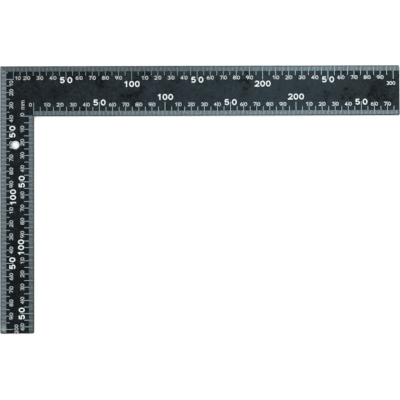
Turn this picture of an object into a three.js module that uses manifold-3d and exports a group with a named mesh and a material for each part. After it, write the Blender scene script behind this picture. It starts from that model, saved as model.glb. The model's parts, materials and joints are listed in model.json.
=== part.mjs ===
// Steel square: a flat L-shaped plate with a long arm (the blade), a short arm (the tongue), a hanging hole
// in the tongue, and metric scales pressed into its front face and filled with white paint.
//
// Millimetres, +Z up. The plate lies on Z = 0 with its scales upwards. The blade runs along +X at the +Y
// side, and the tongue runs along -Y at the -X side. The origin is the middle of the plate's box, on its back
// face.

import * as THREE from 'three';
import { mergeVertices } from 'three/addons/utils/BufferGeometryUtils.js';
import Module from 'manifold-3d';

// Plate
const bladeLength = 304.8;
const bladeWidth = 38.1;
const tongueLength = 203.2;
const tongueWidth = 25.4;
const thickness = 1.5;
const heelRadius = 0.3;
const endRadius = 0.9;

// Hanging hole, measured from the outer corner of the heel
const holeDiameter = 6.35;
const holeFromTongueEdge = 11.3;
const holeFromBladeEdge = 60;

// Graduation lines, pressed to one depth and open at the plate's edge
const lineSpacing = 10;
const lineWidth = 0.22;
const lineLength = 10.4;
const lineDepth = 0.12;
const lineEndMargin = 2;
const lineToNumeral = 0.3;

// Bold numerals, at every half hundred
const boldSpacing = 50;
const digitHeight = 4.5;
const digitWidth = 3.6;
const digitStroke = 0.78;
const bladeFiftyPitch = 5.75;
const tongueFiftyPitch = 5.45;
const hundredPitch = 4.3;
const numeralDepth = 0.16;
const paintThickness = 0.14;
const paintClearance = 0.02;
const numeralEndMargin = 1;

// Distance from the arm's edge to the near side of each row of bold numerals
const bladeOuterFiftyRow = 8.4;
const bladeOuterHundredRow = 11.5;
const bladeInnerFiftyRow = 8;
const bladeInnerHundredRow = 12.1;
const tongueFiftyRow = 6.9;
const tongueHundredRow = 7.4;

// Number of straight steps along each bow of a digit, and around the hanging hole
const bowSteps = 9;
const ringSteps = 16;
const holeSteps = 36;

// How far a cutting tool runs past the face that it opens
const overrun = 1;

const blackSteel = new THREE.MeshStandardMaterial({ color: 0x232c30, roughness: 0.45, metalness: 0.6 });
const whitePaint = new THREE.MeshStandardMaterial({ color: 0xf4f5f5, roughness: 0.6, metalness: 0 });

const wasm = await Module();
wasm.setup();

function toSolid(geometry) {
  const bare = geometry.clone();
  bare.deleteAttribute('normal');
  bare.deleteAttribute('uv');
  const merged = mergeVertices(bare);
  return new wasm.Manifold(new wasm.Mesh({
    numProp: 3,
    vertProperties: merged.getAttribute('position').array,
    triVerts: new Uint32Array(merged.index.array),
  }));
}

function toGeometry(solid) {
  const { vertProperties, triVerts } = solid.getMesh();
  const geometry = new THREE.BufferGeometry();
  geometry.setAttribute('position', new THREE.BufferAttribute(vertProperties, 3));
  geometry.setIndex(new THREE.BufferAttribute(triVerts, 1));
  geometry.computeVertexNormals();
  return geometry;
}

// --- Plate blank -------------------------------------------------------------------------------------------

// A closed outline through square corners, each rounded by its own radius. Corner: [x, y, radius].
function squareCornered(corners) {
  const outline = new THREE.Shape();
  corners.forEach(([x, y, radius], index) => {
    const corner = new THREE.Vector2(x, y);
    const towards = ([px, py]) => new THREE.Vector2(px, py).sub(corner).setLength(radius);
    const entry = towards(corners.at(index - 1));
    const exit = towards(corners[(index + 1) % corners.length]);
    if (radius === 0) {
      outline[index ? 'lineTo' : 'moveTo'](x, y);
      return;
    }
    const centre = corner.clone().add(entry).add(exit);
    const start = Math.atan2(-exit.y, -exit.x);
    const end = Math.atan2(-entry.y, -entry.x);
    const clockwise = entry.cross(exit) > 0;
    outline.absarc(centre.x, centre.y, radius, start, end, clockwise);
  });
  return outline;
}

const left = -bladeLength / 2;
const right = bladeLength / 2;
const top = tongueLength / 2;
const bottom = -tongueLength / 2;
const innerX = left + tongueWidth;
const innerY = top - bladeWidth;

function plateBlank() {
  const outline = squareCornered([
    [left, top, heelRadius],
    [left, bottom, endRadius],
    [innerX, bottom, endRadius],
    [innerX, innerY, 0],
    [right, innerY, endRadius],
    [right, top, endRadius],
  ]);
  const extrusion = { depth: thickness, bevelEnabled: false, curveSegments: 4 };
  return toSolid(new THREE.ExtrudeGeometry(outline, extrusion));
}

function hangingHole() {
  const length = thickness + 2 * overrun;
  const punch = new THREE.CylinderGeometry(holeDiameter / 2, holeDiameter / 2, length, holeSteps);
  punch.rotateX(Math.PI / 2);
  punch.translate(left + holeFromTongueEdge, top - holeFromBladeEdge, thickness / 2);
  return toSolid(punch);
}

// --- Digits ------------------------------------------------------------------------------------------------

// Outline of a stroke of constant width along a centre line. Its open ends are lengthened by `grow`.
function stroke(points, width, grow, closed = false) {
  const count = points.length;
  const side = (sign) => points.map((point, index) => {
    const first = !closed && index === 0;
    const last = !closed && index === count - 1;
    const into = point.clone().sub(points.at(index - 1)).normalize();
    const away = points[(index + 1) % count].clone().sub(point).normalize();
    const arriving = first ? away : into;
    const leaving = last ? into : away;
    const normal = new THREE.Vector2(-arriving.y - leaving.y, arriving.x + leaving.x).normalize();
    const reach = width / 2 / normal.dot(new THREE.Vector2(-arriving.y, arriving.x));
    const lengthening = (last ? grow : 0) - (first ? grow : 0);
    return point.clone().addScaledVector(normal, sign * reach).addScaledVector(leaving, lengthening);
  });
  if (!closed) return new THREE.Shape([...side(1), ...side(-1).reverse()]);
  const ring = new THREE.Shape(side(-1));
  ring.holes.push(new THREE.Path(side(1)));
  return ring;
}

const point = (x, y) => new THREE.Vector2(x, y);

function bow(x, y, radiusX, radiusY, startDegrees, endDegrees) {
  const [start, end] = [startDegrees, endDegrees].map(THREE.MathUtils.degToRad);
  return new THREE.EllipseCurve(x, y, radiusX, radiusY, start, end, end < start).getPoints(bowSteps);
}

// Centre lines of each digit's strokes, in a box of half width a and half height b around its middle. Labels
// up to 250 need 1, 2 and 5, and longer arms need 3 and 4.
const centreLines = {
  1: (a, b, half) => [
    [point(0.3 * a, b + half), point(0.3 * a, -b - half)],
    [point(-0.7 * a, 0.45 * b), point(0.3 * a, 0.95 * b)],
  ],
  2: (a, b, half) => [
    [...bow(0, 0.42 * b, 0.95 * a, 0.58 * b, 165, -35), point(-0.75 * a, -0.95 * b)],
    [point(-a - half, -b), point(a + half, -b)],
  ],
  3: (a, b) => [
    bow(0, 0.5 * b, 0.88 * a, 0.5 * b, 155, -90),
    bow(0, -0.46 * b, a, 0.54 * b, 90, -155),
  ],
  4: (a, b, half) => [
    [point(0.35 * a, b + half), point(0.35 * a, -b - half)],
    [point(0.35 * a, 0.9 * b), point(-0.95 * a, -0.35 * b), point(a + half, -0.35 * b)],
  ],
  5: (a, b) => [
    [point(0.95 * a, b), point(-0.62 * a, b), point(-0.88 * a, 0)],
    bow(0, -0.38 * b, a, 0.62 * b, 148, -155),
  ],
};

function digitStrokes(digit, grow) {
  const a = (digitWidth - digitStroke) / 2;
  const b = (digitHeight - digitStroke) / 2;
  const width = digitStroke + 2 * grow;
  if (digit === '0') {
    const ring = new THREE.EllipseCurve(0, 0, a, b).getPoints(ringSteps).slice(0, -1);
    return [stroke(ring, width, grow, true)];
  }
  return centreLines[digit](a, b, digitStroke / 2).map((line) => stroke(line, width, grow));
}

// A digit standing on Z = 0, `grow` wider than its nominal outline on every side.
function digitSolid(digit, grow, height) {
  return digitStrokes(digit, grow)
    .map((shape) => toSolid(new THREE.ExtrudeGeometry(shape, { depth: height, bevelEnabled: false })))
    .reduce((whole, part) => whole.add(part));
}

// --- Scales ------------------------------------------------------------------------------------------------

// Each scale lies in a group whose +X is the way its numerals read and whose +Y is their upward side.
// `run` is the way readings grow along X, and `inward` the way from the edge to the middle along Y.
const heel = [left, top];
const innerCorner = [innerX, innerY];
const quarterTurn = Math.PI / 2;
const scales = [
  {
    name: 'blade_outer', zero: heel, turn: 0, run: 1, inward: -1, length: bladeLength,
    firstLine: lineSpacing, fiftyPitch: bladeFiftyPitch,
    fiftyRow: bladeOuterFiftyRow, hundredRow: bladeOuterHundredRow,
  },
  {
    name: 'blade_inner', zero: innerCorner, turn: 0, run: 1, inward: 1, length: bladeLength - tongueWidth,
    firstLine: 0, fiftyPitch: bladeFiftyPitch,
    fiftyRow: bladeInnerFiftyRow, hundredRow: bladeInnerHundredRow,
  },
  {
    name: 'tongue_outer', zero: heel, turn: quarterTurn, run: -1, inward: -1, length: tongueLength,
    firstLine: lineSpacing, fiftyPitch: tongueFiftyPitch,
    fiftyRow: tongueFiftyRow, hundredRow: tongueHundredRow,
  },
  {
    name: 'tongue_inner', zero: innerCorner, turn: quarterTurn, run: -1, inward: 1,
    length: tongueLength - bladeWidth, firstLine: 0, fiftyPitch: tongueFiftyPitch,
    fiftyRow: tongueFiftyRow, hundredRow: tongueHundredRow,
  },
];

const floor = thickness - numeralDepth;

// Bold digits of one scale: where each stands, and what it is. Hundreds read in full, the halves as "50".
function boldDigits(scale) {
  const digits = [];
  for (let reading = boldSpacing; reading < scale.length; reading += boldSpacing) {
    const isHundred = reading % 100 === 0;
    const text = isHundred ? String(reading) : '50';
    const pitch = isHundred ? hundredPitch : scale.fiftyPitch;
    const halfLabel = ((text.length - 1) * pitch + digitWidth) / 2;
    if (reading + halfLabel + numeralEndMargin > scale.length) break;
    const row = (isHundred ? scale.hundredRow : scale.fiftyRow) + digitHeight / 2;
    [...text].forEach((digit, index) => digits.push({
      digit,
      name: `paint_${scale.name}_${reading}_digit_${index + 1}`,
      x: scale.run * reading + (index - (text.length - 1) / 2) * pitch,
      y: scale.inward * row,
    }));
  }
  return digits;
}

// Grooves of the ten-millimetre lines. They are open at the arm's edge, except a zero line, which starts in
// the inner corner. A hundred's line stops short of its numeral.
function grooves(scale, group) {
  const cuts = [];
  for (let reading = scale.firstLine; reading <= scale.length - lineEndMargin; reading += lineSpacing) {
    const isHundred = reading > 0 && reading % 100 === 0;
    const length = isHundred ? Math.min(lineLength, scale.hundredRow - lineToNumeral) : lineLength;
    const pastEdge = reading > 0 ? overrun : 0;
    const groove = new THREE.BoxGeometry(lineWidth, length + pastEdge, lineDepth + overrun);
    const y = scale.inward * (length - pastEdge) / 2;
    groove.translate(scale.run * reading, y, thickness + (overrun - lineDepth) / 2);
    cuts.push(toSolid(groove.applyMatrix4(group.matrixWorld)));
  }
  return cuts;
}

const square = new THREE.Group();
let plate = plateBlank().subtract(hangingHole());

for (const scale of scales) {
  const group = new THREE.Group();
  group.position.set(...scale.zero, 0);
  group.rotation.z = scale.turn;
  square.add(group);
  group.updateWorldMatrix(true, false);
  grooves(scale, group).forEach((cut) => { plate = plate.subtract(cut); });

  for (const { digit, name, x, y } of boldDigits(scale)) {
    const paint = new THREE.Mesh(toGeometry(digitSolid(digit, 0, paintThickness)), whitePaint);
    paint.name = name;
    paint.position.set(x, y, floor);
    group.add(paint);
    paint.updateWorldMatrix(true, false);
    const pocket = toGeometry(digitSolid(digit, paintClearance, numeralDepth + overrun));
    plate = plate.subtract(toSolid(pocket.applyMatrix4(paint.matrixWorld)));
  }
}

const steelPlate = new THREE.Mesh(toGeometry(plate), blackSteel);
steelPlate.name = 'steel_plate';
square.add(steelPlate);

export default square;
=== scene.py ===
"""Steel square: the visual model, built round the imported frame.

Shapes are worked out in millimetres and turned into metres as each piece is finished.
"""

import json
import math

import bmesh
import bpy
from mathutils import Matrix, Vector


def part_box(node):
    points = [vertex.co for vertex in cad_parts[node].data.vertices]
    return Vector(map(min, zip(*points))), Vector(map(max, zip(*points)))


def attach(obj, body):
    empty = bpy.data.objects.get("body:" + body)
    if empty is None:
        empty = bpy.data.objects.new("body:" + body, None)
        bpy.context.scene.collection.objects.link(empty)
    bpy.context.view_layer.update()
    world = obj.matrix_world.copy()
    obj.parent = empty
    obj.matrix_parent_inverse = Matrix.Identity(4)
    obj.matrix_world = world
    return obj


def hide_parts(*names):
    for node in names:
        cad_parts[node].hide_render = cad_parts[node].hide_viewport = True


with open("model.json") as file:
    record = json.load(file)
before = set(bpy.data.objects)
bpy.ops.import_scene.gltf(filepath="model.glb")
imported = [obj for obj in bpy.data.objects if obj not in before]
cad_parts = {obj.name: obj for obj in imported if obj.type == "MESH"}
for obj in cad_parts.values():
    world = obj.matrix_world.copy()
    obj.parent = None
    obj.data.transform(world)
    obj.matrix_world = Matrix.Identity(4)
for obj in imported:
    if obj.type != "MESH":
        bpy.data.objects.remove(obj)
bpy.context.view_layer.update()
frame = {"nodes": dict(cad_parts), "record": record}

MM = 0.001
record = frame["record"]


# --- The plate's sizes, from the frame, in millimetres --------------------------------------------

def mount_point(name):
    return Vector(next(m["pos_m"] for m in record["mounts"] if m["name"] == name)) / MM


plate_low, plate_high = (Vector(corner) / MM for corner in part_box("steel_plate"))
LEFT, BOTTOM, BACK = plate_low
RIGHT, TOP, FRONT = plate_high
INNER_X = mount_point("tongue_inner_edge").x
INNER_Y = mount_point("blade_inner_edge").y
hole_box = next(o["box_m"] for o in record["physics"]["openings"] if o["name"] == "hanging_hole")
HOLE_X, HOLE_Y = ((hole_box[0][axis] + hole_box[1][axis]) / 2 / MM for axis in (0, 1))
HOLE_RADIUS = 6.35 / 2
HEEL_RADIUS = 0.3
END_RADIUS = 0.9
EDGE_ROUND = 0.16
CORNER_STEPS = 6
EDGE_STEPS = 4
HOLE_STEPS = 64

# --- Marks, in millimetres ------------------------------------------------------------------------

LINE_WIDTH = 0.24
LINE_DEPTH = 0.12
NUMERAL_DEPTH = 0.16
PAINT_BELOW_FACE = 0.02
PAINT_GAP = 0.01
PAINT_FROM_EDGE = 0.6
OVERRUN = 1.0

BOLD_SIZE = (3.6, 4.5, 0.78)         # width, height and stroke of a digit
SMALL_SIZE = (2.1, 2.75, 0.33)
UNIT_SIZE = (3.0, 2.3, 0.3)
BOLD_STEPS = 16                      # steps of the curves
SMALL_STEPS = 10
UNIT_STEPS = 8
PAIR_PITCH = 3.1                     # the two digits of a small label stand either side of their line
CLOSE_PITCH = 2.3                    # digits that stand together
UNIT_PITCH = 3.6

# Each scale: its zero, how its numerals are turned, which way readings grow along them (run), which way the
# middle of the arm lies (inward), its length, the distances of its marks from the arm's edge, how white the
# paint of its lines is at low and at high readings, and the two readings between which it changes; that
# change is painted sheen and shade.
SCALES = {
    "blade_outer": dict(
        zero=(LEFT, TOP), turn=0, run=1, inward=-1, length=RIGHT - LEFT,
        fine=4.0, five=7.3, ten=10.4, small_row=9.05, starts_at_heel=True, end_label_row=13.6,
        end_label_back=1.9, fine_white=(0.25, 0.475), long_white=(0.26, 0.62), whitens=(132, 232),
    ),
    "blade_inner": dict(
        zero=(INNER_X, INNER_Y), turn=0, run=1, inward=1, length=RIGHT - INNER_X,
        fine=3.8, five=7.0, ten=10.4, small_row=8.65, starts_at_heel=False, zero_digit=2.5,
        fine_white=(0.30, 0.475), long_white=(0.34, 0.52), whitens=(0, 120),
    ),
    "tongue_outer": dict(
        zero=(LEFT, TOP), turn=90, run=-1, inward=-1, length=TOP - BOTTOM,
        fine=4.5, five=7.15, ten=9.9, small_row=8.3, starts_at_heel=True, end_label_row=12.2,
        end_label_back=0.3, fine_white=(0.44, 0.37), long_white=(0.40, 0.40), whitens=(0, 200),
    ),
    "tongue_inner": dict(
        zero=(INNER_X, INNER_Y), turn=90, run=-1, inward=1, length=INNER_Y - BOTTOM,
        fine=3.7, five=7.3, ten=10.4, small_row=8.7, starts_at_heel=False, zero_digit=1.4,
        fine_white=(0.38, 0.22), long_white=(0.41, 0.41), whitens=(0, 165),
    ),
}
HEEL_FIVE = 5.5                      # the five line next to the heel stops just past its crossing
FIRST_LABEL_SHIFT = 3.2              # the first label stands wholly past its line
LINE_TO_NUMERAL = 0.35
LINE_END_MARGIN = 0.5
UNIT_BEFORE_ZERO = 8.6
UNIT_ROW = 8.1


# --- Meshes ---------------------------------------------------------------------------------------

def new_object(name, points, faces):
    mesh = bpy.data.meshes.new(name)
    mesh.from_pydata(points, [], faces)
    shape = bmesh.new()
    shape.from_mesh(mesh)
    bmesh.ops.recalc_face_normals(shape, faces=shape.faces)
    shape.to_mesh(mesh)
    shape.free()
    piece = bpy.data.objects.new(name, mesh)
    bpy.context.scene.collection.objects.link(piece)
    return piece


def boolean(piece, tool, operation):
    """Cuts the tool from the piece, or joins it on, and deletes the tool."""
    modifier = piece.modifiers.new("boolean", "BOOLEAN")
    modifier.operation = operation
    modifier.solver = "MANIFOLD"
    modifier.object = tool
    depsgraph = bpy.context.evaluated_depsgraph_get()
    made = bpy.data.meshes.new_from_object(piece.evaluated_get(depsgraph))
    piece.modifiers.clear()
    piece.data = made
    bpy.data.objects.remove(tool)


def banded(rings):
    """Points and faces of a tube through rings of equal length, each a closed loop of points."""
    count = len(rings[0])
    points = [point for ring in rings for point in ring]
    faces = []
    for ring in range(len(rings) - 1):
        for side in range(count):
            after = (side + 1) % count
            first, second = ring * count, (ring + 1) * count
            faces.append((first + side, first + after, second + after, second + side))
    return points, faces


# --- Strokes and digits ---------------------------------------------------------------------------

def bow(x, y, radius_x, radius_y, start, end, steps):
    """Points along part of an ellipse, from one angle in degrees to another."""
    angles = [math.radians(start + (end - start) * step / steps) for step in range(steps + 1)]
    return [Vector((x + radius_x * math.cos(t), y + radius_y * math.sin(t))) for t in angles]


def digit_lines(digit, size, steps):
    """Centre lines of a digit's strokes, as (points, closed), round the middle of its box."""
    a, b, half = (size[0] - size[2]) / 2, (size[1] - size[2]) / 2, size[2] / 2

    def line(*points):
        return [Vector(point) for point in points]

    def ring(y, radius_x, radius_y):
        return bow(0, y, radius_x, radius_y, 0, 360, 2 * steps)[:-1]

    if digit == "0":
        return [(ring(0, a, b), True)]
    if digit == "1":
        stem = line((0.3 * a, b + half), (0.3 * a, -b - half))
        return [(stem, False), (line((-0.7 * a, 0.45 * b), (0.3 * a, 0.95 * b)), False)]
    if digit == "2":
        neck = bow(0, 0.42 * b, 0.95 * a, 0.58 * b, 165, -35, steps) + line((-0.75 * a, -0.95 * b))
        return [(neck, False), (line((-a - half, -b), (a + half, -b)), False)]
    if digit == "3":
        upper = bow(0, 0.5 * b, 0.88 * a, 0.5 * b, 155, -90, steps)
        lower = bow(0, -0.46 * b, a, 0.54 * b, 90, -155, steps)
        return [(upper, False), (lower, False)]
    if digit == "4":
        stem = line((0.35 * a, b + half), (0.35 * a, -b - half))
        bent = line((0.35 * a, 0.9 * b), (-0.95 * a, -0.35 * b), (a + half, -0.35 * b))
        return [(stem, False), (bent, False)]
    if digit == "5":
        bent = line((0.95 * a, b), (-0.62 * a, b), (-0.88 * a, 0))
        return [(bent, False), (bow(0, -0.38 * b, a, 0.62 * b, 148, -155, steps), False)]
    if digit in "69":
        turn = 1 if digit == "6" else -1
        tail = [turn * point for point in bow(0.75 * a, -0.4 * b, 1.75 * a, 1.4 * b, 178, 104, steps)]
        return [(ring(-0.4 * b * turn, a, 0.6 * b), True), (tail, False)]
    if digit == "7":
        return [(line((-a - half, b), (0.98 * a, b), (-0.3 * a, -b - half)), False)]
    if digit == "8":
        return [(ring(0.5 * b, 0.86 * a, 0.5 * b), True), (ring(-0.46 * b, a, 0.54 * b), True)]
    if digit == "m":
        foot, shoulder = -b - half, 0.35 * b
        stem = line((-a, foot), (-a, b + half))
        arches = [
            line((x - a / 2, shoulder)) + bow(x, shoulder, a / 2, b - shoulder, 180, 0, steps)[1:]
            + line((x + a / 2, foot)) for x in (-a / 2, a / 2)
        ]
        return [(stem, False)] + [(arch, False) for arch in arches]
    raise ValueError(f"no strokes for {digit!r}")


def stroke_sections(points, closed, width, grow):
    """The two sides of a stroke at each point of its centre line. Open ends are lengthened by grow."""
    count = len(points)
    sections = []
    for index, point in enumerate(points):
        first = not closed and index == 0
        last = not closed and index == count - 1
        into = (point - points[index - 1]).normalized()
        away = (points[(index + 1) % count] - point).normalized()
        arriving = away if first else into
        leaving = into if last else away
        normal = Vector((-arriving.y - leaving.y, arriving.x + leaving.x)).normalized()
        reach = (width / 2 + grow) / normal.dot(Vector((-arriving.y, arriving.x)))
        middle = point + leaving * (grow * (last - first))
        sections.append((middle + normal * reach, middle - normal * reach))
    return sections


class Strokes:
    """Strokes of the marks, gathered in layers. No two strokes of one layer overlap."""

    def __init__(self):
        self.layers = {}

    def add(self, layer, place, points, closed, width):
        self.layers.setdefault(layer, []).append((place, points, closed, width))

    def solid(self, name, layer, low, high, grow):
        """One mesh of a layer's strokes, from low to high, each grow wider on every side."""
        all_points, all_faces = [], []
        for place, points, closed, width in self.layers[layer]:
            rings = []
            for one, other in stroke_sections(points, closed, width, grow):
                corners = ((one, low), (other, low), (other, high), (one, high))
                rings.append([place @ Vector((side.x, side.y, z)) for side, z in corners])
            if closed:
                rings.append(rings[0])
            made, faces = banded(rings)
            if closed:
                kept = len(made) - 4
                made = made[:kept]
                faces = [tuple(corner % kept for corner in face) for face in faces]
            else:
                end = len(made)
                faces += [(0, 1, 2, 3), (end - 4, end - 3, end - 2, end - 1)]
            start = len(all_points)
            all_points += made
            all_faces += [tuple(start + corner for corner in face) for face in faces]
        return new_object(name, all_points, all_faces)

    def joined(self, name, low, high, grow=0.0):
        """All layers as one mesh."""
        layers = [self.solid(name, layer, low, high, grow) for layer in sorted(self.layers)]
        for tool in layers[1:]:
            boolean(layers[0], tool, "UNION")
        return layers[0]


def add_digit(strokes, place, x, y, digit, size, steps):
    shifted = place @ Matrix.Translation((x, y, 0))
    for layer, (points, closed) in enumerate(digit_lines(digit, size, steps)):
        strokes.add(layer, shifted, points, closed, size[2])


# --- Where the marks are --------------------------------------------------------------------------

def scale_place(scale, face):
    """The matrix from a scale's own axes (X as its numerals read, Y their upward side, Z out of the face)."""
    zero = Matrix.Translation((*scale["zero"], 0))
    if face == "front":
        return Matrix.Translation((0, 0, FRONT)) @ zero @ Matrix.Rotation(math.radians(scale["turn"]), 4, "Z")
    turned_over = Matrix.Rotation(math.pi, 4, "Y")
    zero = Matrix.Translation((-scale["zero"][0], scale["zero"][1], 0))
    turn = Matrix.Rotation(math.radians(-scale["turn"]), 4, "Z")
    return Matrix.Translation((0, 0, BACK)) @ turned_over @ zero @ turn


def along(scale, face, reading):
    return reading * scale["run"] * (1 if face == "front" else -1)


def bold_digits():
    """The bold digits of each scale, from the CAD's paint nodes, as (reading, digit, x, y, node). The digit
    lies at x past its scale's line at that reading, and y from the arm's edge."""
    found = {name: [] for name in SCALES}
    for node in sorted(frame["nodes"]):
        if not node.startswith("paint_"):
            continue
        arm, edge, reading, _, index = node.split("_")[1:]
        name = f"{arm}_{edge}"
        scale = SCALES[name]
        reading = int(reading)
        text = str(reading) if reading % 100 == 0 else "50"
        digit = text[int(index) - 1]
        low, high = (Vector(corner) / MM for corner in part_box(node))
        middle = scale_place(scale, "front").inverted() @ ((low + high) / 2)
        outline = [side for points, closed in digit_lines(digit, BOLD_SIZE, BOLD_STEPS)
                   for pair in stroke_sections(points, closed, BOLD_SIZE[2], 0) for side in pair]
        own = [(min(p[axis] for p in outline) + max(p[axis] for p in outline)) / 2 for axis in (0, 1)]
        shift = middle.x - own[0] - along(scale, "front", reading)
        found[name].append((reading, digit, shift, middle.y - own[1], node))
    return found


BOLD = bold_digits()


def bold_near_side(name, reading):
    """How far from the arm's edge the bold label of a reading begins, or None if it has none."""
    rows = [abs(y) - BOLD_SIZE[1] / 2 for at, _, _, y, _ in BOLD[name] if at == reading]
    return min(rows) if rows else None


def line_length(name, reading):
    scale = SCALES[name]
    if reading % 10 == 0:
        near = bold_near_side(name, reading) if reading % 100 == 0 else None
        return min(scale["ten"], near - LINE_TO_NUMERAL) if near and reading else scale["ten"]
    if reading % 5 == 0:
        return HEEL_FIVE if scale["starts_at_heel"] and reading == 5 else scale["five"]
    if scale["starts_at_heel"] and reading < 5:
        return float(reading)
    return scale["fine"]


def line_class(reading):
    return "ten_mm" if reading % 10 == 0 else "five_mm" if reading % 5 == 0 else "one_mm"


def lines(name, face):
    """The graduation lines of a scale, by class."""
    scale = SCALES[name]
    classes = {"one_mm": Strokes(), "five_mm": Strokes(), "ten_mm": Strokes()}
    first = 1 if scale["starts_at_heel"] else 0
    for reading in range(first, int(scale["length"] - LINE_END_MARGIN) + 1):
        x = along(scale, face, reading)
        end = scale["inward"] * line_length(name, reading)
        points = [Vector((x, 0)), Vector((x, end))]
        classes[line_class(reading)].add(0, scale_place(scale, face), points, False, LINE_WIDTH)
    return classes


def small_label(name, reading):
    """A small label's text, how far past its line its middle lies, its pitch and its row. None where it is
    bold."""
    scale = SCALES[name]
    if reading == 0:
        return "0", -scale["zero_digit"], CLOSE_PITCH, scale["small_row"]
    if any(at == reading for at, *_ in BOLD[name]):
        return None
    if reading % 100 == 0:
        return str(reading), -scale["end_label_back"], CLOSE_PITCH, scale["end_label_row"]
    if reading == 10 and scale["starts_at_heel"]:
        return "10", FIRST_LABEL_SHIFT, CLOSE_PITCH, scale["small_row"]
    return str(reading % 100), 0.0, PAIR_PITCH, scale["small_row"]


def small_numerals(name, face):
    scale = SCALES[name]
    strokes = Strokes()
    first = 10 if scale["starts_at_heel"] else 0
    for reading in range(first, int(scale["length"] - LINE_END_MARGIN) + 1, 10):
        label = small_label(name, reading)
        if not label:
            continue
        text, middle, pitch, row = label
        for index, digit in enumerate(text):
            x = along(scale, face, reading + middle) + (index - (len(text) - 1) / 2) * pitch
            y = scale["inward"] * row
            add_digit(strokes, scale_place(scale, face), x, y, digit, SMALL_SIZE, SMALL_STEPS)
    return strokes


def bold_strokes(name, face, node=None):
    """The bold digits of a scale, or only the one that a CAD node holds."""
    scale = SCALES[name]
    strokes = Strokes()
    for reading, digit, x, y, own in BOLD[name]:
        if node in (None, own):
            at = along(scale, face, reading) + x
            add_digit(strokes, scale_place(scale, face), at, y, digit, BOLD_SIZE, BOLD_STEPS)
    return strokes


def unit_mark(face):
    """"mm" before the zero of the tongue's inner scale."""
    scale = SCALES["tongue_inner"]
    strokes = Strokes()
    middle = along(scale, face, -UNIT_BEFORE_ZERO)
    for shift in (-UNIT_PITCH / 2, UNIT_PITCH / 2):
        place = scale_place(scale, face)
        y = scale["inward"] * UNIT_ROW
        add_digit(strokes, place, middle + shift, y, "m", UNIT_SIZE, UNIT_STEPS)
    return strokes


# --- Materials ------------------------------------------------------------------------------------

class Finish:
    """A material with a Principled shader and object coordinates."""

    def __init__(self, name):
        self.material = bpy.data.materials.new(name)
        self.material.use_nodes = True
        self.nodes = self.material.node_tree.nodes
        self.shader = self.nodes["Principled BSDF"]
        self.coordinates = self.nodes.new("ShaderNodeTexCoord").outputs["Object"]

    def link(self, output, target):
        self.material.node_tree.links.new(output, target)

    def noise(self, scale, detail=2.0, roughness=0.5, stretch=(1, 1, 1), place=(0, 0, 0)):
        mapping = self.nodes.new("ShaderNodeMapping")
        mapping.inputs["Scale"].default_value = stretch
        mapping.inputs["Location"].default_value = place
        self.link(self.coordinates, mapping.inputs["Vector"])
        texture = self.nodes.new("ShaderNodeTexNoise")
        texture.inputs["Scale"].default_value = scale
        texture.inputs["Detail"].default_value = detail
        texture.inputs["Roughness"].default_value = roughness
        self.link(mapping.outputs["Vector"], texture.inputs["Vector"])
        return texture.outputs["Fac"]

    def ramp(self, value, low, high, colours):
        """Maps a value between low and high to a run of two colours."""
        ramp = self.nodes.new("ShaderNodeValToRGB")
        for element, place, colour in zip(ramp.color_ramp.elements, (low, high), colours):
            element.position = place
            element.color = (*colour, 1)
        self.link(value, ramp.inputs["Fac"])
        return ramp.outputs["Color"]

    def spread(self, value, low, high, to_low, to_high):
        """Maps a value between low and high to another range, held at its ends."""
        node = self.nodes.new("ShaderNodeMapRange")
        for name, number in (("From Min", low), ("From Max", high), ("To Min", to_low), ("To Max", to_high)):
            node.inputs[name].default_value = number
        self.link(value, node.inputs["Value"])
        return node.outputs["Result"]

    def along(self, direction, start, end, to_start=0.0, to_end=1.0):
        """A value that changes with how far a point lies along a direction, and is held past both ends."""
        node = self.nodes.new("ShaderNodeVectorMath")
        node.operation = "DOT_PRODUCT"
        node.inputs[1].default_value = direction
        self.link(self.coordinates, node.inputs[0])
        return self.spread(node.outputs["Value"], start, end, to_start, to_end)

    def near(self, place, radius):
        """1 close to a place, falling to 0 at a distance from it."""
        node = self.nodes.new("ShaderNodeVectorMath")
        node.operation = "DISTANCE"
        node.inputs[1].default_value = place
        self.link(self.coordinates, node.inputs[0])
        return self.spread(node.outputs["Value"], 0.3 * radius, radius, 1.0, 0.0)

    def specks(self, per_metre, radius):
        """1 inside small round specks, scattered over X and Y, and 0 elsewhere."""
        cells = self.nodes.new("ShaderNodeTexVoronoi")
        cells.voronoi_dimensions = "2D"
        cells.inputs["Scale"].default_value = per_metre
        self.link(self.coordinates, cells.inputs["Vector"])
        return self.spread(cells.outputs["Distance"], 0.5 * radius * per_metre, radius * per_metre, 1.0, 0.0)

    def total(self, first, *others):
        for other in others:
            first = self.maths("ADD", first, other)
        return first

    def maths(self, operation, first, second):
        node = self.nodes.new("ShaderNodeMath")
        node.operation = operation
        for socket, value in zip(node.inputs, (first, second)):
            if isinstance(value, float):
                socket.default_value = value
            else:
                self.link(value, socket)
        return node.outputs["Value"]

    def mix(self, factor, first, second):
        node = self.nodes.new("ShaderNodeMix")
        node.data_type = "RGBA"
        self.link(factor, node.inputs["Factor"])
        for name, value in (("A", first), ("B", second)):
            socket = next(s for s in node.inputs if s.name == name and s.type == "RGBA")
            if isinstance(value, tuple):
                socket.default_value = (*value, 1)
            else:
                self.link(value, socket)
        return next(s for s in node.outputs if s.type == "RGBA")

    def bump(self, height, distance):
        node = self.nodes.new("ShaderNodeBump")
        node.inputs["Distance"].default_value = distance
        self.link(height, node.inputs["Height"])
        self.link(node.outputs["Normal"], self.shader.inputs["Normal"])


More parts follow.
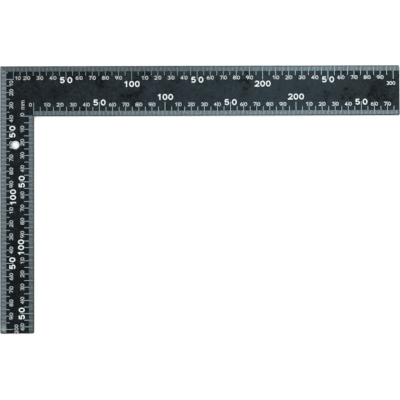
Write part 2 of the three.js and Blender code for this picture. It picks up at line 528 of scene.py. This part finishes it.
X_AXIS = (1.0, 0.0, 0.0)
Y_AXIS = (0.0, 1.0, 0.0)
BLACK = (0.0006, 0.0020, 0.0032)
# the pale end of the black, reached by random pale tone and by a painted sheen along the blade
BLACK_PALE_TONE_AND_SHEEN = (0.0160, 0.0262, 0.0318)
PALE_SPECK = (0.09, 0.11, 0.115)
BARE_STEEL = (0.16, 0.17, 0.18)
# a rubbed spot near the end of the tongue, with its gleam painted in as a pale patch
SCUFF_AND_PAINTED_GLEAM = (0.19, 0.215, 0.225)
SCUFF_AND_GLEAM_PLACE = Vector((LEFT + 2.5, BOTTOM + 3.8, FRONT)) * MM
SCUFF_AND_GLEAM_RADIUS = 0.0027
NUMERAL_WHITE = ((0.52, 0.565, 0.58), (0.61, 0.665, 0.68))
# painted sheen: the small numerals' white rises from the heel to the end of the blade
SMALL_NUMERAL_SHEEN_LEVELS = (0.84, 1.28)   # shares of that white, at the heel and at the end of the blade
LINE_TINT = Vector((0.98, 1.3, 1.40))
LINE_UNEVENNESS = (0.86, 1.17)


def black_finish(name, worn):
    """Satin black on steel, made paler along the blade by a painted sheen that turns dark again at the
    blade's end, with painted shade darker down the tongue. It has darker mottled patches, fine grain, hair
    scratches, a few pale specks and a rubbed spot near the end of the tongue with its gleam painted in. Worn
    lets bare steel show in patches."""
    finish = Finish(name)
    clouds = finish.noise(28, 4, 0.6)
    speckle = finish.noise(450, 4, 0.75)
    patches = finish.spread(finish.noise(70, 4, 0.62, place=(14.985, 0, 0)), 0.5, 0.66, 0.0, 1.0)
    paleness_and_painted_sheen = finish.total(
        # painted sheen and shade: the first three terms make the black paler along the blade, dark again at
        # its end and darker down the tongue
        finish.along(X_AXIS, -0.2, 0.08),
        finish.along(X_AXIS, 0.09, 0.13, 0.0, -0.45),     # dark again at the end of the blade
        finish.along(Y_AXIS, -0.05, 0.02, -0.2, 0.0),     # darker down the tongue
        finish.spread(clouds, 0.3, 0.7, -0.1, 0.1),
        finish.spread(speckle, 0.3, 0.7, -0.4, 0.4),
        finish.maths("MULTIPLY", patches, finish.spread(speckle, 0.42, 0.58, 0.3, -1.2)),
    )
    colour = finish.ramp(paleness_and_painted_sheen, 0.0, 1.0, (BLACK, BLACK_PALE_TONE_AND_SHEEN))
    colour = finish.mix(finish.specks(20, 0.0005), colour, PALE_SPECK)
    # painted gleam on a rubbed spot near the end of the tongue
    scuff_and_gleam = finish.near(SCUFF_AND_GLEAM_PLACE, SCUFF_AND_GLEAM_RADIUS)
    scuff_and_gleam = finish.maths("MULTIPLY", scuff_and_gleam, finish.spread(speckle, 0.4, 0.6, 0.3, 1.0))
    colour = finish.mix(scuff_and_gleam, colour, SCUFF_AND_PAINTED_GLEAM)
    if worn:
        bare = finish.spread(finish.noise(160, 5, 0.7), 0.56, 0.66, 0.0, 0.6)
        colour = finish.mix(bare, colour, BARE_STEEL)
        finish.link(bare, finish.shader.inputs["Metallic"])
    finish.link(colour, finish.shader.inputs["Base Color"])
    finish.shader.inputs["Specular IOR Level"].default_value = 0.1
    finish.link(finish.spread(clouds, 0.3, 0.7, 0.28, 0.38), finish.shader.inputs["Roughness"])
    scratches = finish.noise(900, 3, 0.6, (0.03, 1, 1))
    finish.bump(finish.total(finish.noise(4200, 2), finish.maths("MULTIPLY", scratches, 0.6)), 0.000012)
    return finish.material


def paint_finish(name, colours, change=None):
    """Flat paint that lies a little unevenly in its mark. Change is other colours, and the direction, start
    and end along which the paint turns to them."""
    finish = Finish(name)
    patches = finish.noise(650, 3, 0.6)
    colour = finish.ramp(patches, 0.4, 0.62, colours)
    if change:
        other_colours, *course = change
        colour = finish.mix(finish.along(*course), colour, finish.ramp(patches, 0.4, 0.62, other_colours))
    finish.link(colour, finish.shader.inputs["Base Color"])
    finish.shader.inputs["Roughness"].default_value = 0.62
    finish.shader.inputs["Specular IOR Level"].default_value = 0.3
    finish.bump(finish.noise(3500, 2), 0.00001)
    return finish.material


def line_paint(name, kind, levels):
    """The paint of a scale's lines, its whiteness changing along the scale as painted sheen and shade."""
    scale = SCALES[name]
    # painted sheen and shade: the line paint's white changes between two readings along the scale
    at_low, at_high = ([LINE_TINT * level * share for share in LINE_UNEVENNESS] for level in levels)
    zero_x, zero_y = scale["zero"]
    if name.startswith("blade"):
        direction, zero = X_AXIS, zero_x
    else:
        direction, zero = (0.0, -1.0, 0.0), -zero_y
    start, end = ((zero + reading) * MM for reading in scale["whitens"])
    return paint_finish(f"{name}_{kind}_line_paint", at_low, (at_high, direction, start, end))


def small_numeral_paint():
    """Paint made whiter towards the end of the blade by a painted sheen."""
    at_heel, at_end = (
        [Vector(colour) * level for colour in NUMERAL_WHITE] for level in SMALL_NUMERAL_SHEEN_LEVELS
    )
    course = X_AXIS, LEFT * MM, RIGHT * MM
    return paint_finish("small_numeral_paint", at_heel, (at_end, *course))


BLACK_FINISH = black_finish("black_finish", worn=False)
WORN_EDGE = black_finish("black_finish_worn_edge", worn=True)
NUMERAL_PAINT = paint_finish("numeral_paint", NUMERAL_WHITE)
SMALL_NUMERAL_PAINT = small_numeral_paint()
FINE_LINE_PAINT = {name: line_paint(name, "fine", scale["fine_white"]) for name, scale in SCALES.items()}
LONG_LINE_PAINT = {name: line_paint(name, "long", scale["long_white"]) for name, scale in SCALES.items()}


def finished(piece, slot, *materials):
    """Turns a piece into metres, gives it its materials, and puts it on the square's one body."""
    piece.data.transform(Matrix.Scale(MM, 4))
    piece.data.materials.clear()
    for material in materials:
        piece.data.materials.append(material)
    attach(piece, "root")
    return piece


# --- The plate ------------------------------------------------------------------------------------

def outline(inset):
    """The plate's outline, moved in by inset: an L with rounded outer corners and a sharp inner one."""
    corners = [
        (LEFT, TOP, HEEL_RADIUS), (LEFT, BOTTOM, END_RADIUS), (INNER_X, BOTTOM, END_RADIUS),
        (INNER_X, INNER_Y, 0), (RIGHT, INNER_Y, END_RADIUS), (RIGHT, TOP, END_RADIUS),
    ]
    points = []
    for index, (x, y, radius) in enumerate(corners):
        before = Vector(corners[index - 1][:2]) - Vector((x, y))
        after = Vector(corners[(index + 1) % len(corners)][:2]) - Vector((x, y))
        into, away = before.normalized(), after.normalized()
        if radius == 0:
            points.append(Vector((x, y)) - (into + away) * inset)
            continue
        centre = Vector((x, y)) + (into + away) * radius
        for step in range(CORNER_STEPS + 1):
            turn = math.pi / 2 * step / CORNER_STEPS
            direction = -away * math.cos(turn) - into * math.sin(turn)
            points.append(centre + direction * (radius - inset))
    return points


def rounded_levels(low, high, radius):
    """(inset, height) up the side of a plate whose two edges are rounded."""
    turns = [math.pi / 2 * step / EDGE_STEPS for step in range(EDGE_STEPS + 1)]
    lower = [(radius * (1 - math.sin(t)), low + radius * (1 - math.cos(t))) for t in turns]
    upper = [(inset, low + high - height) for inset, height in reversed(lower)]
    return lower + upper


def blank(name):
    rings = [
        [(point.x, point.y, height) for point in outline(inset)]
        for inset, height in rounded_levels(BACK, FRONT, EDGE_ROUND)
    ]
    points, faces = banded(rings)
    count = len(rings[0])
    faces += [tuple(range(count)), tuple(range(len(points) - count, len(points)))]
    return new_object(name, points, faces)


def hole_tool():
    """What is cut away for the hanging hole, wider at both faces by the round of its edges."""
    levels = rounded_levels(BACK, FRONT, EDGE_ROUND)
    levels = [(EDGE_ROUND, BACK - OVERRUN)] + levels + [(EDGE_ROUND, FRONT + OVERRUN)]
    rings = []
    for widening, height in levels:
        radius = HOLE_RADIUS + widening
        angles = [2 * math.pi * step / HOLE_STEPS for step in range(HOLE_STEPS)]
        rings.append([(HOLE_X + radius * math.cos(t), HOLE_Y + radius * math.sin(t), height) for t in angles])
    points, faces = banded(rings)
    faces += [tuple(range(HOLE_STEPS)), tuple(range(len(points) - HOLE_STEPS, len(points)))]
    return new_object("hole_tool", points, faces)


def carve(piece, strokes, depth):
    """Presses strokes into the plate, layer by layer."""
    for layer in sorted(strokes.layers):
        boolean(piece, strokes.solid("tool", layer, -depth, OVERRUN, 0.0), "DIFFERENCE")


def past_the_edge(classes):
    """Line grooves run out over the plate's edge, except the zero lines, which start in the inner corner."""
    for strokes in classes.values():
        for placed in strokes.layers.get(0, []):
            start, end = placed[1]
            at_zero = abs(start.x) < 0.5
            if not at_zero:
                start.y = -OVERRUN if end.y > 0 else OVERRUN
    return classes


def plate():
    piece = blank("square_plate")
    boolean(piece, hole_tool(), "DIFFERENCE")
    for face in ("front", "back"):
        for name in SCALES:
            for strokes in past_the_edge(lines(name, face)).values():
                carve(piece, strokes, LINE_DEPTH)
            carve(piece, small_numerals(name, face), NUMERAL_DEPTH)
            carve(piece, bold_strokes(name, face), NUMERAL_DEPTH)
        carve(piece, unit_mark(face), NUMERAL_DEPTH)
    middle = (FRONT + BACK) / 2
    for polygon in piece.data.polygons:
        rounded = 0.03 < abs(polygon.normal.z) < 0.97
        wall = abs(polygon.normal.z) <= 0.03 and abs(polygon.center.z - middle) < (FRONT - BACK) / 4
        polygon.use_smooth = rounded
        polygon.material_index = 1 if rounded or wall else 0
    finished(piece, "black_steel", BLACK_FINISH, WORN_EDGE)
    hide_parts("steel_plate")


# --- The paint ------------------------------------------------------------------------------------

def paint(name, strokes, depth, material, *nodes):
    """A piece of paint on the floor of its marks. What would stand out past the plate's edges is cut off."""
    piece = strokes.joined(name, -depth, -PAINT_BELOW_FACE, -PAINT_GAP)
    boolean(piece, blank("trim"), "INTERSECT")
    finished(piece, "white_paint", material)
    if nodes:
        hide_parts(*nodes)


def paint_lines(name, face):
    for kind, strokes in lines(name, face).items():
        for placed in strokes.layers[0]:
            start, end = placed[1]
            start.y = math.copysign(PAINT_FROM_EDGE, end.y)
        material = FINE_LINE_PAINT[name] if kind == "one_mm" else LONG_LINE_PAINT[name]
        paint(f"{face}_{name}_{kind}_lines", strokes, LINE_DEPTH, material)


def paint_marks():
    for face in ("front", "back"):
        for name in SCALES:
            paint_lines(name, face)
            numerals = small_numerals(name, face)
            paint(f"{face}_{name}_small_numerals", numerals, NUMERAL_DEPTH, SMALL_NUMERAL_PAINT)
        paint(f"{face}_unit_mark", unit_mark(face), NUMERAL_DEPTH, SMALL_NUMERAL_PAINT)
    for name in SCALES:
        for *_, node in BOLD[name]:
            piece_name = node.replace("paint_", "bold_")
            paint(piece_name, bold_strokes(name, "front", node), NUMERAL_DEPTH, NUMERAL_PAINT, node)
        paint(f"back_{name}_bold_numerals", bold_strokes(name, "back"), NUMERAL_DEPTH, NUMERAL_PAINT)


# --- Studio ---------------------------------------------------------------------------------------

def camera():
    """Looks almost straight down on the square."""
    data = bpy.data.cameras.new("camera")
    data.lens = 85
    data.sensor_width = 36
    data.clip_end = 10
    eye = bpy.data.objects.new("camera", data)
    eye.location = Vector((-8.2, -16.25, 720.4)) * MM
    eye.rotation_euler = [math.radians(angle) for angle in (1.225, -0.596, -0.255)]
    bpy.context.scene.collection.objects.link(eye)
    bpy.context.scene.camera = eye


def soft_light(name, location, size, power):
    """An area light that faces the origin."""
    data = bpy.data.lights.new(name, "AREA")
    data.shape = "RECTANGLE"
    data.size, data.size_y = size
    data.energy = power
    light = bpy.data.objects.new(name, data)
    light.location = location
    light.rotation_mode = "QUATERNION"
    light.rotation_quaternion = (-Vector(location)).to_track_quat("-Z", "Y")
    bpy.context.scene.collection.objects.link(light)


def studio():
    scene = bpy.context.scene
    scene.view_settings.view_transform = "Standard"
    world = bpy.data.worlds.new("studio")
    world.use_nodes = True
    background = world.node_tree.nodes["Background"]
    background.inputs["Color"].default_value = (0.98, 0.99, 1, 1)
    background.inputs["Strength"].default_value = 0.95
    scene.world = world

    half = 4
    corners = [(-half, -half, 0), (half, -half, 0), (half, half, 0), (-half, half, 0)]
    floor = new_object("floor", corners, [(0, 1, 2, 3)])
    material = bpy.data.materials.new("white_floor")
    material.use_nodes = True
    shader = material.node_tree.nodes["Principled BSDF"]
    shader.inputs["Base Color"].default_value = (0.8, 0.8, 0.8, 1)
    shader.inputs["Roughness"].default_value = 0.9
    floor.data.materials.append(material)

    soft_light("left_softbox", (-1.3, 0.1, 1.0), (1.2, 1.6), 9.5)
    soft_light("right_softbox", (1.3, 0.1, 1.0), (1.2, 1.6), 12.5)
    soft_light("far_softbox", (0.1, 1.4, 1.1), (1.8, 0.9), 8)
    soft_light("near_softbox", (0.1, -1.5, 1.0), (1.8, 0.9), 8)


camera()
plate()
paint_marks()
studio()
